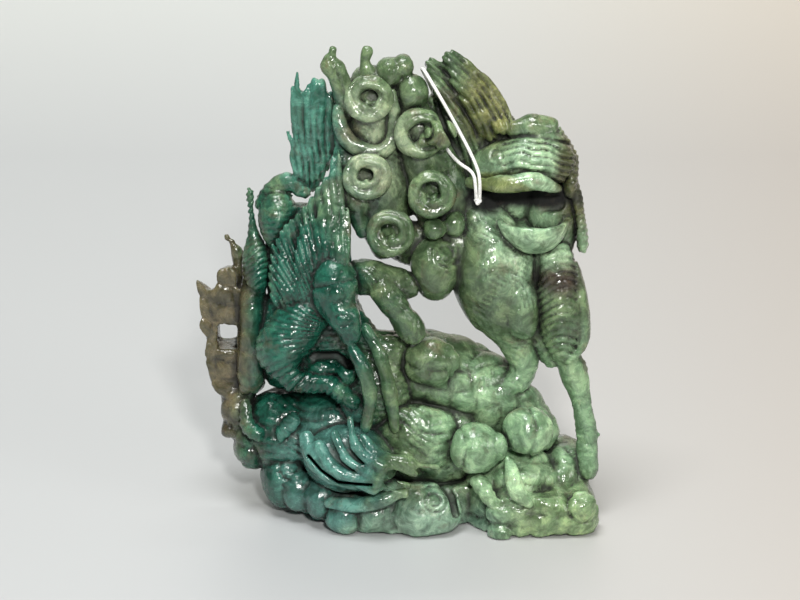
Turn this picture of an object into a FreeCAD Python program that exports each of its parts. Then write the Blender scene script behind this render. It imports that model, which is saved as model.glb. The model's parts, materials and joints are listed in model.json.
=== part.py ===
"""A carved jade figurine: a dragon and a hoofed beast among scrolling clouds, on a rock with peaches.

The stone is one block in life. Here each carved element is a solid of its own, in its own node, and the
elements meet inside the stone. The only loose piece is a white tag string, looped over the carving.

Frame: millimetres, +Z up, X across the front from left to right, +Y towards the back. The origin is in the
middle of the base, on the surface that the figurine stands on.
"""

import FreeCAD as App
import Part

import math
import os

# Driving dimensions, in millimetres.
LEAN = math.radians(20.0)  # the front view looks down on the carving by this angle
STRING_R = 0.5  # radius of the tag string
BALL_LEVELS = (-0.96, -0.8, -0.45, 0.0, 0.45, 0.8, 0.96)  # heights of a rounded form's sections
FLOOR_BOX = 400.0  # side of the block that trims what would reach below the base
SCROLL_LEAN = math.radians(8.0)  # the cloud scrolls face slightly upwards
FRONT_SCROLLS = 5  # the scrolls on the front of the cloud, before those on its back

V = App.Vector
BACK = V(0, 1, 0)


def seen(x, rise, y):
    """The point at depth y that the front view shows x across and rise up."""
    return V(x, y, (rise - y * math.sin(LEAN)) / math.cos(LEAN))


def outward(solid):
    """The solid with its faces pointing outwards."""
    if solid.Volume < 0:
        solid.reverse()
    return solid


def section(centre, along, wide, deep):
    """An ellipse across the direction along, wide by deep, its depth as near to Y as it can be."""
    across = along.cross(BACK)
    if across.Length < 0.2:
        across = V(1, 0, 0)
    across.normalize()
    back = across.cross(along)
    back.normalize()
    if wide >= deep:
        ellipse = Part.Ellipse(V(0, 0, 0), wide, deep)
        turn = App.Rotation(across, back, across.cross(back), "ZXY")
    else:
        ellipse = Part.Ellipse(V(0, 0, 0), deep, wide)
        turn = App.Rotation(back, -across, across.cross(back), "ZXY")
    edge = ellipse.toShape()
    edge.Placement = App.Placement(centre, turn)
    return Part.Wire([edge])


def limb(path, radii, deep=1.0):
    """A limb of changing radius along a path, with domed ends; deep is its depth for each unit of width."""
    last = len(path) - 1
    ways = []
    for i in range(last + 1):
        way = path[min(i + 1, last)] - path[max(i - 1, 0)]
        ways.append(way.normalize())
    stations = [(path[i], ways[i], radii[i]) for i in range(last + 1)]
    domes = ((0.55, 0.84), (0.9, 0.44))
    for reach, share in domes:
        stations.insert(0, (path[0] - ways[0] * (reach * radii[0]), ways[0], share * radii[0]))
        stations.append((path[last] + ways[last] * (reach * radii[last]), ways[last], share * radii[last]))
    wires = [section(at, way, r, r * deep) for at, way, r in stations]
    return outward(Part.makeLoft(wires, True, False))


def ball(centre, wide, deep, high, turn=0.0):
    """An egg-like rounded form with these half sizes, turned by turn degrees in the front view."""
    turn = math.radians(turn)
    up = V(math.sin(turn), 0, math.cos(turn))
    wires = []
    for level in BALL_LEVELS:
        share = math.sqrt(1 - level**2)
        wires.append(section(centre + up * (level * high), up, wide * share, deep * share))
    return outward(Part.makeLoft(wires, True, False))


def slab(outline, front, back):
    """A plate with a smooth closed outline of (x, rise) points, from depth front to depth back."""
    curve = Part.BSplineCurve()
    curve.interpolate([seen(x, rise, front) for x, rise in outline], PeriodicFlag=True)
    face = Part.Face(Part.Wire([curve.toShape()]))
    return face.extrude(seen(0, 0, back) - seen(0, 0, front))


def joined(*shapes):
    """The shapes as one solid."""
    return shapes[0].multiFuse(list(shapes[1:])).removeSplitter()


def stood(shape):
    """The shape, cut flat where it would reach below the base."""
    room = Part.makeBox(FLOOR_BOX, FLOOR_BOX, FLOOR_BOX, V(-FLOOR_BOX / 2, -FLOOR_BOX / 2, 0))
    return shape.common(room)


# ---------------------------------------------------------------- rock base


def base_rock():
    """The foot of the rock: a low rounded block with a waist at the front where it is undercut."""
    plan = [
        (56, -19), (49, -25), (38, -25), (28, -23), (20, -15), (12, -21), (0, -23), (-14, -22), (-25, -14),
        (-35, -2), (-40, 10), (-36, 22), (-18, 27), (10, 28), (38, 25), (53, 15), (58, 0),
    ]  # fmt: skip
    levels = ((0.0, 0.95), (3.0, 1.0), (9.0, 0.99), (13.0, 0.9))
    wires = []
    for z, share in levels:
        curve = Part.BSplineCurve()
        curve.interpolate([V(x * share, y * share, z) for x, y in plan], PeriodicFlag=True)
        wires.append(Part.Wire([curve.toShape()]))
    return Part.makeLoft(wires, True, False)


def boulders():
    """The rounded rocks round the foot."""
    return {
        "front_boulders": stood(joined(
            ball(seen(6, 0, -17), 12.5, 9, 9.5),
            ball(seen(-17, -1.5, -18), 6.5, 6, 7),
            ball(seen(-6, 4, -15), 9, 7, 7),
        )),
        "left_boulders": stood(joined(
            ball(seen(-35.5, 10, -3), 8, 9, 10.5),
            ball(seen(-31, 5.5, -9), 6, 6, 7),
            ball(seen(-24, 4, -13), 6, 7, 7),
        )),
        "right_boulders": stood(joined(
            ball(seen(52, -1.5, -17), 7.6, 8, 8.5),
            ball(seen(42.5, -1, -18), 6.5, 7, 8),
            ball(seen(53.7, 1, -21), 5.6, 4.5, 5.6),
        )),
        "back_boulders": stood(joined(
            ball(V(-18, 19, 13), 16, 9, 13),
            ball(V(12, 20, 12), 17, 9, 12),
            ball(V(38, 17, 11), 14, 10, 9),
        )),
        "right_bank": joined(
            ball(seen(49.5, 13, 3), 9, 14, 9),
            ball(seen(33, 10, -6), 15, 13, 11),
        ),
    }  # fmt: skip


def mound():
    """The rock that rises behind the fruit and carries both animals."""
    return {
        "mound_ridge": joined(
            limb([seen(0, 43.5, 2), seen(11, 41.5, 2), seen(21, 38, 2), seen(30, 33, 2), seen(39, 24, 3)],
                 [12, 13, 12.5, 11.5, 9]),
            ball(seen(5, 22, 2), 25, 18, 18),
            ball(seen(8.5, 45, -9), 9, 6, 8),
        ),
        "mound_left": joined(
            ball(seen(-21, 25, 3), 19, 16, 16),
            ball(seen(-36, 24, 2), 13, 13, 14),
        ),
        "mound_face": ball(seen(4, 21.5, -12), 14, 7.5, 12),
    }


def left_crags():
    """The russet skin of the stone at the left: a pierced wall, its prongs and the rocks under it."""
    wall = slab(
        [
            (-60, 69), (-56.5, 67), (-54.8, 73), (-51, 74), (-48.5, 67), (-42, 64), (-40.5, 50), (-42, 37),
            (-50, 33), (-57.5, 36.5), (-58.8, 42), (-60, 46.5), (-59.4, 50), (-61, 55), (-61, 62),
        ],
        0, 14,
    )  # fmt: skip
    window = Part.makeBox(5, 60, 7.4, V(-55, -20, 51.3))
    prongs = (
        limb([seen(-49.5, 62, 6), seen(-49.5, 72, 6), seen(-50, 79, 6),
            seen(-52.3, 82, 6)], [2.4, 2.1, 2, 1.4]),
        limb([seen(-52.5, 62, 8), seen(-53, 67, 8), seen(-53, 72, 8)], [1.9, 1.6, 1.1]),
    )
    return {
        "crag_wall": joined(wall.cut(window), *prongs),
        "crag_foot": joined(
            limb([seen(-44.5, 68, 2), seen(-45, 58, 1), seen(-45.5, 48, 0),
                seen(-46, 39, 0)], [4, 5, 5, 4.5], 1.2),
            ball(seen(-50, 32, 5), 6, 8, 9),
            ball(seen(-51.5, 24.5, 4), 4, 4.5, 4),
            ball(seen(-45, 20, 2), 7, 9, 8.5),
        ),
        "left_curl": limb(
            [seen(-47.5, 32, -2), seen(-46.5, 26.5, -5), seen(-42, 22.8, -8), seen(-36.5, 23.2, -9.5),
                seen(-33, 27, -10)],
            [2.2, 2.8, 3, 3.2, 2.8],
        ),
    }


# ---------------------------------------------------------------- fruit and fungus


def fruit():
    """Two peaches with a leaf, and the heads of fungus at their foot."""
    return {
        "peach_left": joined(ball(seen(22, 19, -16), 8.2, 7.5, 8.2), ball(seen(28.8, 19.5, -17),
            3.4, 4, 4.6)),
        "peach_right": ball(seen(37.7, 24, -13), 7.9, 7.4, 7.9),
        "peach_leaf": limb(
            [seen(31.8, 16, -22), seen(33, 11, -24), seen(35, 5.5, -25),
                seen(38, 2.5, -24.5)], [1.2, 2.6, 2.7, 1.6]
        ),
        "fungus_left": stood(joined(
            ball(seen(31.5, 0, -20), 7, 5.5, 5.2),
            ball(seen(30, -5.5, -21), 5, 5, 4.5),
            limb([seen(23, 9, -19), seen(26.5, 4, -21), seen(34, -0.5, -23),
                seen(38.5, 1, -23)], [3, 2.6, 2, 1.6]),
        )),
    }  # fmt: skip


# ---------------------------------------------------------------- dragon


def dragon_body():
    """The dragon's curled trunk, its raised tail root and its foreleg."""
    return {
        "dragon_chest": limb(
            [seen(-27, 62, -8), seen(-33, 54, -10), seen(-36, 46.5, -11),
                seen(-33, 41, -12)], [8, 8.5, 7.8, 5]
        ),
        "dragon_back": joined(
            ball(seen(-35, 52, 3), 11, 9, 17),
            ball(seen(-31, 74, 3), 11, 9, 20),
            ball(seen(-21, 52, 0), 11, 11, 18),
        ),
        "dragon_coil": limb(
            [seen(-33, 40, -11), seen(-26.5, 39, -12), seen(-20.5, 38, -13),
                seen(-16, 34, -14)], [3.8, 3.7, 3.6, 3.2]
        ),
        "dragon_claw": joined(
            ball(seen(-24, 43, -9), 6, 4.5, 3.8),
            ball(seen(-16.5, 41.5, -12), 3.6, 4, 4.6),
            ball(seen(-15, 33.5, -14), 3.4, 4, 3.4),
        ),
        "dragon_shoulder": joined(
            ball(seen(-37, 87.5, 0), 6.3, 7, 9.5),
            limb([seen(-42, 92, 2), seen(-38, 97, 2), seen(-33, 98.5, 1),
                seen(-29, 96, 1)], [2.6, 3, 3.2, 2.8]),
        ),
        "dragon_foreleg": joined(
            limb([seen(-14, 70.5, -5), seen(-6, 69.8, -8), seen(2, 68, -8)], [5.6, 5.2, 4.4]),
            limb([seen(-5, 66, -11), seen(-0.8, 60, -12), seen(3, 54.5, -12)], [5, 4.2, 4.6]),
        ),
        "dragon_trunk": joined(
            ball(seen(-8, 36, -5), 12, 11, 17),
            limb([seen(-15, 58, -6), seen(-10, 52, -6), seen(-2, 47, -5)], [4, 4.4, 6.5]),
        ),
    }


def dragon_head():
    """The head, turned to the right, and the two locks of its beard."""
    locks = (
        limb(
            [seen(-17, 54, -18), seen(-13.5, 47, -20), seen(-10.5, 40, -21), seen(-9.5, 33, -21),
                seen(-11, 25, -21)],
            [2, 2.4, 2.5, 2.4, 2],
        ),
        limb(
            [seen(-11, 55, -14), seen(-7.2, 48.5, -16), seen(-4.8, 41, -17), seen(-3.2, 33, -18),
                seen(-2, 25, -18)],
            [2, 2.2, 2.2, 2.1, 1.8],
        ),
    )
    return {
        "dragon_beard": Part.makeCompound(locks),
        "dragon_head": joined(
            ball(seen(-20, 67, -13), 7.5, 8, 10.5),
            limb([seen(-19, 62, -16), seen(-16.5, 57, -18), seen(-15.5, 53, -18)], [5.4, 4.8, 3.8]),
        ),
    }


def dragon_mane():
    """The mane that streams up from the head: five flame blades on a common bed."""
    blades = (
        ([seen(-24, 62, -12), seen(-22, 80, -11), seen(-20.5, 95, -8),
            seen(-19.4, 107, -5)], [5, 5.2, 3.6, 1]),
        ([seen(-27, 60, -12), seen(-28, 72, -12), seen(-28, 82, -10), seen(-28, 91, -8)], [5, 4.8, 3.4, 1]),
        ([seen(-30, 58, -11), seen(-33, 68, -11), seen(-34, 77, -9),
            seen(-33.5, 85, -8)], [5, 4.6, 3.2, 1]),
        ([seen(-32, 56, -9), seen(-36, 65, -9), seen(-37.6, 73, -8), seen(-38, 80, -7)], [4, 3.6, 2.4, 1]),
        ([seen(-20, 68, -15), seen(-18, 76, -14), seen(-17, 84, -12),
            seen(-16.7, 91, -10)], [3, 3.2, 2.4, 1]),
    )
    bed = slab(
        [
            (-19, 107), (-21.3, 101), (-26, 96), (-29.5, 91), (-35, 85.5), (-38, 80), (-38.6, 72),
            (-36, 63),
            (-32, 57), (-24, 54), (-16, 58), (-14, 70), (-15, 84), (-16.2, 95),
        ],
        -9, -2,
    )  # fmt: skip
    made = [limb(path, radii, 0.62) for path, radii in blades]
    return {
        "mane_front": made[0],
        "mane_middle": Part.makeCompound([made[1], made[4]]),
        "mane_rear": joined(made[2], made[3]),
        "mane_bed": bed,
    }


def dragon_tail():
    """The tail fin, the arch that joins it to the back, and the ribbed bulb beside it."""
    blades = (
        ([seen(-29, 98, 2), seen(-27, 108, 2), seen(-25.4, 118, 1), seen(-25, 126, 1)], [3.6, 5, 4.8, 3.4]),
        ([seen(-30, 99, 1), seen(-31, 112, 1), seen(-31.4, 122, 0),
            seen(-31, 130, 0)], [2.5, 2.2, 1.8, 0.9]),
        ([seen(-30.5, 99, 1), seen(-32.5, 107, 1), seen(-34.3, 113, 1)], [2, 1.7, 0.9]),
        ([seen(-27, 98, 3), seen(-23, 107, 3), seen(-21.3, 116, 3), seen(-21, 124, 3)], [3, 3, 2.6, 1.4]),
    )
    web = slab(
        [
            (-31, 128), (-28.5, 125.5), (-25, 127.5), (-21, 124), (-19.8, 117), (-18, 111), (-22, 103),
            (-27, 98),
            (-31, 99), (-31.2, 112),
        ],
        -1, 5,
    )  # fmt: skip
    made = {"tail_fin": joined(web, *(limb(path, radii, 0.7) for path, radii in blades))}
    made["tail_bulb"] = limb(
        [
            seen(-45.2, 96, 1), seen(-44.8, 90, 1), seen(-44.3, 84, 1), seen(-43.5, 78, 0),
            seen(-43.5, 70, 0),
            seen(-43.5, 65, 1),
        ],
        [1.5, 1.3, 2.1, 4.1, 4.4, 3.2],
    )  # fmt: skip
    return made


def tail_feathers():
    """Long feathers that sweep across the front of the rock."""
    quills = (
        ([seen(-20, 23.5, -21), seen(-17.8, 18, -24), seen(-13, 13.5, -26), seen(-5, 10.8, -27),
            seen(2, 8, -26)],
         [1.3, 1.6, 1.6, 1.4, 0.9]),
        ([seen(-15.5, 28, -21), seen(-14.5, 22, -24), seen(-11, 16.8, -26), seen(-4, 13.5, -27),
            seen(4, 11.5, -26)],
         [1.3, 1.6, 1.6, 1.5, 1]),
        ([seen(-11.5, 23, -22), seen(-8.5, 18.8, -24), seen(-3, 16, -25), seen(4, 14.4, -25),
            seen(10.5, 13.5, -24)],
         [1.6, 1.8, 1.8, 1.6, 1]),
        ([seen(-25, 20, -20), seen(-21, 13.8, -24), seen(-14, 10.2, -26), seen(-6, 8, -27),
            seen(1, 5, -26)],
         [1.8, 2.2, 2.2, 1.8, 1]),
        ([seen(-28.5, 22, -16), seen(-26, 15.5, -20), seen(-19.5, 10.5, -23), seen(-11, 7.8, -25)],
         [2.6, 3.2, 2.8, 1.6]),
        ([seen(-22, 2.5, -20), seen(-14, 1.8, -23), seen(-6, 3.6, -25),
            seen(1, 6.4, -25)], [2, 2.6, 2.4, 1.2]),
    )  # fmt: skip
    made = [limb(path, radii) for path, radii in quills]
    return {
        "feathers_upper": joined(*made[:3]),
        "feathers_lower": joined(*made[3:]),
        "feather_bed": ball(seen(-15, 16, -14), 15, 10, 11),
    }


# ---------------------------------------------------------------- clouds


def cloud_scroll(x, rise, y, ring, thick, knob_side):
    """A scroll: a fat ring with the curled end of the cloud as a knob inside it."""
    centre = seen(x, rise, y)
    facing = V(0, -math.cos(SCROLL_LEAN), math.sin(SCROLL_LEAN))
    knob = centre + V(knob_side * 0.25 * ring, -0.3 * thick, -0.42 * ring)
    return joined(Part.makeTorus(ring, thick, centre, facing),
        ball(knob, 0.75 * thick, thick, 0.75 * thick))


def clouds():
    """Scrolls on the front and the back of a bank of cloud, with its bands, leaf and crest."""
    scrolls = (
        (-9.8, 122.3, -8, 4.3, 3.1, -1),
        (-10.3, 99.8, -10, 4.4, 3.1, -1),
        (8.8, 94.5, -12, 4.3, 3.1, 1),
        (-3.5, 83, -14, 4.3, 3.1, 1),
        (5, 112.5, -7, 4.8, 3.1, 1),
        (-9, 120, 12, 4.3, 3.1, 1),
        (6, 108, 13, 4.7, 3.1, -1),
        (-4, 95, 14, 4.4, 3.1, 1),
    )
    rings = [cloud_scroll(*scroll) for scroll in scrolls]
    made = {f"cloud_scroll_{n + 1}": ring for n, ring in enumerate(rings[:FRONT_SCROLLS])}
    made["cloud_scrolls_back"] = Part.makeCompound(rings[FRONT_SCROLLS:])
    made["cloud_bank"] = joined(
        limb([seen(-9, 126, 1), seen(-9, 114, 2), seen(-8, 102, 2), seen(-6, 91, 1), seen(-4, 82, -2)],
             [7, 8.5, 9, 9, 7]),
        limb([seen(1, 124, 2), seen(5, 115, 2), seen(9, 105, 2), seen(12, 95, 2), seen(14, 85, 1)],
             [5, 7.5, 9, 10, 8.5]),
        limb([seen(-3, 83, 0), seen(3, 80.5, 1), seen(10, 81, 1)], [6.5, 7, 7]),
    )
    made["cloud_leaf"] = limb(
        [seen(-15.5, 119, -1), seen(-17, 124.5, -2), seen(-19.3, 130, -2), seen(-21, 134, -2),
            seen(-20.3, 136.6, -2)],
        [3.6, 3.8, 3.4, 2.6, 1.4], 0.8,
    )  # fmt: skip
    made["cloud_band"] = limb(
        [
            seen(-19, 120, -3), seen(-17.5, 113, -5), seen(-13, 108.3, -6), seen(-7, 107, -6),
            seen(-3, 110.5, -5),
            seen(-2.3, 117, -4), seen(-3.2, 124, -3),
        ],
        [1.8, 2.6, 3, 3, 2.6, 2.4, 2],
    )  # fmt: skip
    made["cloud_crest"] = joined(
        limb([seen(-10, 130, -2), seen(-11, 133.5, -2), seen(-10.3, 136.2, -2)], [2.4, 1.6, 1.8]),
        ball(seen(-4, 130.5, 0), 4.2, 5, 4.6),
        ball(seen(0.5, 132.5, 0), 3.2, 4, 3.4),
        ball(seen(3.2, 124.5, -1), 4.8, 5, 5.6),
    )
    made["cloud_scroll_5"] = joined(made["cloud_scroll_5"], ball(seen(11.3, 112, -11), 4.9, 4, 5.1))
    made["cloud_knobs"] = joined(
        ball(seen(9.5, 84.5, -10), 3.6, 4, 3.6),
        ball(seen(15.5, 86.5, -6), 3.8, 5, 4.6),
    )
    made["cloud_edge"] = limb(
        [seen(-11.5, 84.5, -6), seen(-13.5, 91, -4), seen(-15.5, 99, -2), seen(-16.5, 107, -1),
            seen(-18, 112, 0)],
        [3.4, 5.4, 5.6, 4.6, 3.2],
    )  # fmt: skip
    return made


# ---------------------------------------------------------------- hoofed beast


def beast_head():
    """The head with its mouth open to the left: skull, upper lip, bowl-shaped lower jaw and the nape behind."""
    jaw_at = seen(39, 88, -5)
    up = V(0, 0, 1)
    bowl = [section(jaw_at + up * z, up, r, r) for z, r in ((-10.5, 3.4), (-9, 6.6), (-6, 9.4),
        (-2.5, 11), (0, 11.3))]
    dish = [section(jaw_at + up * z, up, r, r) for z, r in ((-4.2, 3), (-3.4, 6), (-1.6, 8.2), (0.5, 9.3))]
    jaw = Part.makeLoft(bowl, True, False).cut(Part.makeLoft(dish, True, False))
    return {
        "beast_skull": joined(
            limb([seen(27, 103.5, -2), seen(33, 105, -3), seen(39, 106, -3), seen(43.5, 105.5, -2)],
                 [6.6, 7.8, 8.6, 8.8]),
            limb([seen(33, 113.3, -3), seen(38, 115, -3), seen(43, 114.6, -2)], [2.8, 3.5, 3.3]),
        ),
        "beast_lip": limb(
            [seen(20, 98, -7), seen(27, 97.4, -11), seen(34, 97.8, -12.5), seen(41, 98.2, -11),
                seen(45, 96.5, -8)],
            [1.8, 2.6, 3, 2.8, 2.4],
        ),
        "beast_jaw": jaw,
        "beast_throat": joined(
            ball(seen(45, 88, 5), 8.5, 10, 15),
            ball(seen(44, 74, 1), 8, 8.5, 11),
            ball(seen(28, 93, 5), 14, 6, 9),
        ),
        "nape_fringe": joined(
            limb([seen(46.5, 112.5, 0), seen(49, 108, 0), seen(49.8, 102, 0), seen(49.6, 96.5, 0)],
                 [2, 2.7, 2.8, 2.4], 2.2),
            limb([seen(51, 98, 1), seen(52.4, 91, 1), seen(53.4, 84.5, 1), seen(54, 79.5, 1)],
                 [1.8, 2, 2.2, 2.2], 2),
        ),
    }  # fmt: skip


def beast_mane():
    """The swept-back mane above the head: five blades on a common bed."""
    blades = (
        ([seen(8.6, 133, 0), seen(12.5, 124, 0), seen(17.5, 116, 0), seen(22, 109, 0)], [2, 3, 3.2, 3]),
        ([seen(14, 134.5, -1), seen(18, 127, -1), seen(22, 120, -1),
            seen(26, 113, -1)], [2.6, 3.4, 3.6, 3.2]),
        ([seen(18.5, 132, 0), seen(22.5, 125.5, 0), seen(26.5, 119, 0),
            seen(29.5, 112, 0)], [2.8, 3.4, 3.6, 3.2]),
        ([seen(23.5, 128.5, 1), seen(27, 123, 1), seen(30, 117, 1),
            seen(31.5, 111, 1)], [2.6, 3.2, 3.2, 3]),
        ([seen(9.5, 121, 4), seen(14, 113, 4), seen(19, 106, 3), seen(23, 100, 2)], [4, 5, 5.5, 5]),
    )
    bed = slab(
        [
            (7.2, 130), (8, 134.5), (11.5, 134), (14.5, 136.5), (19.5, 133.5), (25, 129.5), (28.5, 125.5),
            (32, 120), (33, 114), (29, 107), (21, 104), (16, 112), (12, 121),
        ],
        -1, 6,
    )  # fmt: skip
    blades = [limb(path, radii, 0.8) for path, radii in blades]
    return {"beast_crest": joined(bed, *blades, ball(seen(29.5, 115, -2), 3.8, 5, 3))}


def beast_body():
    """The trunk slanting down to a bent hind leg, and the upright chest over the straight foreleg."""
    return {
        "beast_trunk": joined(
            limb(
                [seen(22.5, 88, 2), seen(27, 76, 0), seen(28.5, 66, -1), seen(32.3, 56, -2),
                    seen(36.3, 46, -2)],
                [9.5, 13.4, 12.6, 8.4, 4.8],
            ),
            ball(seen(34.5, 62, -7), 6.5, 6.5, 11.5, -12),
            limb([seen(42, 72, 2), seen(42, 61, 1), seen(42.5, 51, 0), seen(45, 46, -1)], [6, 6, 5, 3.4]),
        ),
        "beast_haunch": joined(ball(seen(9.7, 73.2, -6), 7.6, 8, 10.6), ball(seen(15, 78.5, 0), 9, 9, 12)),
        "beast_hock": limb([seen(37.5, 44, -2), seen(34.5, 39.5, -3), seen(30.5, 37, -4)], [4, 4.6, 4.6]),
        "beast_chest": joined(
            limb([seen(45.5, 76, -3), seen(46.5, 66, -5), seen(47.5, 56, -5),
                seen(48.5, 48.5, -4)], [6, 6.6, 6.6, 5]),
            limb(
                [seen(51.5, 74, -3), seen(53.6, 66, -4), seen(54.4, 57, -4), seen(53.4, 50, -4),
                    seen(49.5, 46, -5)],
                [1.5, 1.9, 2.1, 2.2, 2], 2.2,
            ),
        ),
        "beast_foreleg": limb([seen(50.8, 44, -4), seen(53.4, 36.5, -4), seen(54.8, 29, -4),
            seen(56, 22.5, -4)], [4.5, 3.8, 3.3, 3.4]),
        "beast_hoof": joined(
            limb([seen(56, 19.5, -4), seen(56, 15.5, -5), seen(56, 12.5, -5.5)], [3.4, 3.7, 3.9]),
            limb([seen(57, 22, -4), seen(59.4, 22.6, -4)], [1.6, 0.9]),
        ),
    }  # fmt: skip


# ---------------------------------------------------------------- tag string


def route():
    """The points that the string turns at, from its knot up the front, over the top and back to the knot."""
    return [
        seen(22.8, 93.2, -12.4), seen(23.0, 97.4, -13.6), seen(22.1, 102.8, -12), seen(14.6, 117.0, -8.6),
        seen(6.6, 130.6, -5.4), seen(5.6, 131.8, 1.5), seen(7.0, 129.6, 8.0), seen(9.6, 124.6, 11.4),
        seen(11.5, 118.0, 10.6), seen(12.3, 111.0, 4.5), seen(12.9, 108.2, -4.5), seen(16.6, 103.6, -10.0),
        seen(20.9, 101.0, -12.4), seen(21.6, 97.2, -13.6), seen(21.8, 93.2, -12.4),
    ]  # fmt: skip


def cord_tube(points, radius):
    """A tube of straight runs joined by arcs, each as large as its two runs allow."""
    edges = []
    start = points[0]
    length = 0.0
    radii = []
    for before, corner, after in zip(points, points[1:], points[2:]):
        into = (corner - before).normalize()
        out = (after - corner).normalize()
        half = into.getAngle(out) / 2
        reach = 0.45 * min(corner.distanceToPoint(before), corner.distanceToPoint(after))
        bend = reach / math.tan(half)
        enter = corner - into * reach
        leave = corner + out * reach
        middle = corner + (out - into).normalize() * (bend / math.cos(half) - bend)
        edges.append(Part.LineSegment(start, enter).toShape())
        edges.append(Part.Arc(enter, middle, leave).toShape())
        length += enter.distanceToPoint(start) + 2 * half * bend
        radii.append(round(bend, 1))
        start = leave
    edges.append(Part.LineSegment(start, points[-1]).toShape())
    length += start.distanceToPoint(points[-1])
    ring = Part.Wire([Part.Circle(points[0], points[1] - points[0], radius).toShape()])
    tube = outward(Part.Wire(edges).makePipeShell([ring], True, False, 2))
    share = tube.Volume / (math.pi * radius**2 * length)
    print("string: length", round(length, 1), "radii", radii, "volume share", round(share, 3))
    return tube


def tag_string():
    """The white string of the tag and the knot that closes its loop."""
    path = route()
    return {
        "tag_string": cord_tube(path, STRING_R),
        "string_knot": ball((path[0] + path[-1]) * 0.5 + V(0, 0.1, -0.8), 1.1, 1.0, 1.1),
    }


# ---------------------------------------------------------------- assembly


def main():
    made = {"base_rock": base_rock()}
    for group in (boulders, mound, left_crags, fruit, dragon_body, dragon_head, dragon_mane, dragon_tail,
                  tail_feathers, clouds, beast_head, beast_mane, beast_body, tag_string):  # fmt: skip
        made.update(group())
    os.makedirs("parts", exist_ok=True)
    box = App.BoundBox()
    for name, shape in made.items():
        if not shape.isValid() or shape.Volume <= 0:
            print("PROBLEM", name, shape.isValid(), round(shape.Volume, 1), shape.ShapeType)
        shape.exportStep(f"parts/{name}.step")
        box.add(shape.optimalBoundingBox() if hasattr(shape, "optimalBoundingBox") else shape.BoundBox)
    print(len(made), "nodes, box", [round(v, 2) for v in (box.XMin, box.XMax, box.YMin, box.YMax,
        box.ZMin, box.ZMax)])


main()
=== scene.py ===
"""The looks of the carved jade figurine: one polished stone, cut into named pieces, and its tag string.

Each piece follows the shape of its CAD node. All the nodes are first melted together into one distance
field, the carver's cuts are made in it, and each node's own share of the result becomes its piece.
Lengths in the field are millimetres: X across, RISE up the front view and FACE towards the back of it.
"""

import json
import math

import bpy
import numpy as np
import openvdb
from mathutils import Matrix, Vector

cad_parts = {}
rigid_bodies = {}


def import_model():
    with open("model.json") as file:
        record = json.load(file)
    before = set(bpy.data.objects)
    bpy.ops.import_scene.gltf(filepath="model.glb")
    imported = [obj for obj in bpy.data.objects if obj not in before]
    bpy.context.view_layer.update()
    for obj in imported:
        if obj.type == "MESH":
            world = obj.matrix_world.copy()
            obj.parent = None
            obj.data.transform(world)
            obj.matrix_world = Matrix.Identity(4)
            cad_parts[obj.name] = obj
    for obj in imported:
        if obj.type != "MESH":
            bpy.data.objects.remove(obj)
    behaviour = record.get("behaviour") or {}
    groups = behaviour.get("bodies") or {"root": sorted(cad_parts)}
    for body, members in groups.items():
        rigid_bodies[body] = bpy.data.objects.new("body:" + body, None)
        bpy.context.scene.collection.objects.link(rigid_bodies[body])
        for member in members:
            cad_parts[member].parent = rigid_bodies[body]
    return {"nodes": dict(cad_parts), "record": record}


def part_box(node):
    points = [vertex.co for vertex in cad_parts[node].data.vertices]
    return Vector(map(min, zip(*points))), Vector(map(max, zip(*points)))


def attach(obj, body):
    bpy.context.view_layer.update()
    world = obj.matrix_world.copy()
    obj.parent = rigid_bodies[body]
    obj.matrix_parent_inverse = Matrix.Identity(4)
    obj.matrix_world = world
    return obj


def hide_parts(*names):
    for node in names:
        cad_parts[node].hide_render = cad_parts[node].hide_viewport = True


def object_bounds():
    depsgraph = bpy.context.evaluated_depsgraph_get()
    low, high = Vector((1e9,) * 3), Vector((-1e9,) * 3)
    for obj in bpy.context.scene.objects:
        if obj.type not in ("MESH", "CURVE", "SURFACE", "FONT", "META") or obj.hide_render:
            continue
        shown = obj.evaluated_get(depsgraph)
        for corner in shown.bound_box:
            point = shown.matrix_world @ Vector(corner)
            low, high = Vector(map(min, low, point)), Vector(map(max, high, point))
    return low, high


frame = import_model()
CAD_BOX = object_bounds()

MM = 0.001
LEAN = math.radians(20.0)  # the camera looks down by this angle
COS, SIN = math.cos(LEAN), math.sin(LEAN)
VOXEL = 0.45  # size of the field's cells
BAND = 3.6 / VOXEL  # how far from each surface the field is known, in cells
MELT = 1.1  # radius of the fillets where carved elements meet
LAP = 1.2  # how far each piece runs under its neighbours
SINK = 0.8  # slope of that hidden part
ADAPT = 0.25  # how far the mesh is simplified where it is nearly flat
FADE = 0.8  # width of the strip over which a cut fades out at its node's border
SWAY = 0.7  # how far the hand of the carver wanders
UNDERSIDE = 0.06  # height of the flat underside over the floor
FAR = 1e3  # farther than anything in the field
INSET = 0.12  # the carving is this much smaller than the nodes, so that it stays in their box
VIEW_WIDTH = 0.240  # how much the picture shows from side to side, in metres
STRING_DIAMETER = 1.0 * MM
STRING_NODES = ("tag_string", "string_knot")
STONE_NODES = sorted(set(frame["nodes"]) - set(STRING_NODES))
SLOTS = {part["node"]: part["material_slot"] for part in frame["record"]["subparts"]}


# ---------------------------------------------------------------- the field


def centre(node):
    """The middle of a node's box, as (x, rise), in millimetres."""
    low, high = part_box(node)
    x, y, z = [(a + b) / 2 / MM for a, b in zip(low, high)]
    return x, z * COS + y * SIN


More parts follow.
